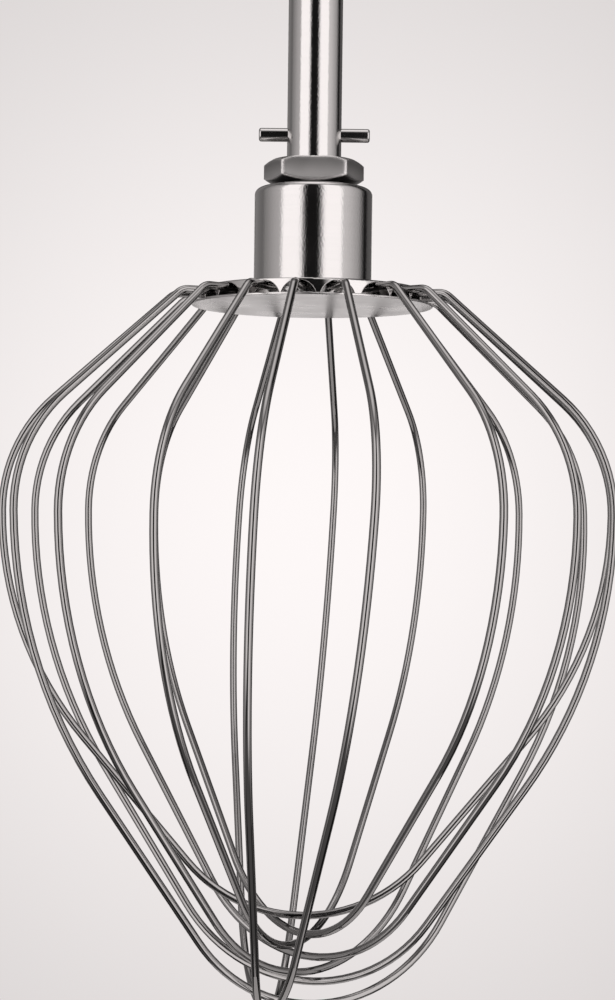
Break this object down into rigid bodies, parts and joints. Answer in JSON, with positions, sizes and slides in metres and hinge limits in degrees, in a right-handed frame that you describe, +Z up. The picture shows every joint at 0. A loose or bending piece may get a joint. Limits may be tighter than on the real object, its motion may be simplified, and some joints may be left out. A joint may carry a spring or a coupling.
{
  "type": "stand mixer wire whisk",
  "caption": "Balloon wire whisk for a planetary stand mixer: nested wire loops on a notched head, height-adjusted on a threaded drive shaft with a lock nut and a cross pin.",
  "frame": {"origin": "where the cross pin's axis meets the shaft's axis", "axes": "+Z up along the shaft, away from the cage; +X along the cross pin; -Y towards the viewer of the picture"},
  "size_m": [0.1361, 0.1353, 0.231],
  "materials": {
    "shaft_steel": "ground and polished stainless steel",
    "pin_steel": "ground stainless steel",
    "nut_steel": "satin stainless steel",
    "collar_steel": "turned and polished stainless steel",
    "pan_steel": "turned and polished stainless steel",
    "plate_steel": "satin stainless sheet",
    "wire_steel": "electropolished stainless spring wire"
  },
  "bodies": {
    "shaft": {"drive_shaft": "shaft_steel", "drive_pin": "pin_steel"},
    "nut": {"lock_nut": "nut_steel"},
    "head": {"hub_collar": "collar_steel", "wire_pan": "pan_steel", "base_plate": "plate_steel", "wire_loop_1": "wire_steel", "wire_loop_2": "wire_steel", "wire_loop_3": "wire_steel", "wire_loop_4": "wire_steel", "wire_loop_5": "wire_steel", "wire_loop_6": "wire_steel", "wire_loop_7": "wire_steel", "wire_loop_8": "wire_steel", "wire_loop_9": "wire_steel"}
  },
  "joints": [
    {"name": "height_adjust", "type": "slide", "parent": "shaft", "child": "nut", "axis": [0, 0, -1], "range_m": [0, 0.007]},
    {"name": "head_turn", "type": "hinge", "parent": "nut", "child": "head", "pos_m": [0, 0, -0.0119], "axis": [0, 0, -1], "range_deg": [0, 1440]}
  ],
  "couplings": [
    {"joint": "height_adjust", "follows": "head_turn", "m_per_rad": 0.0002785}
  ]
}
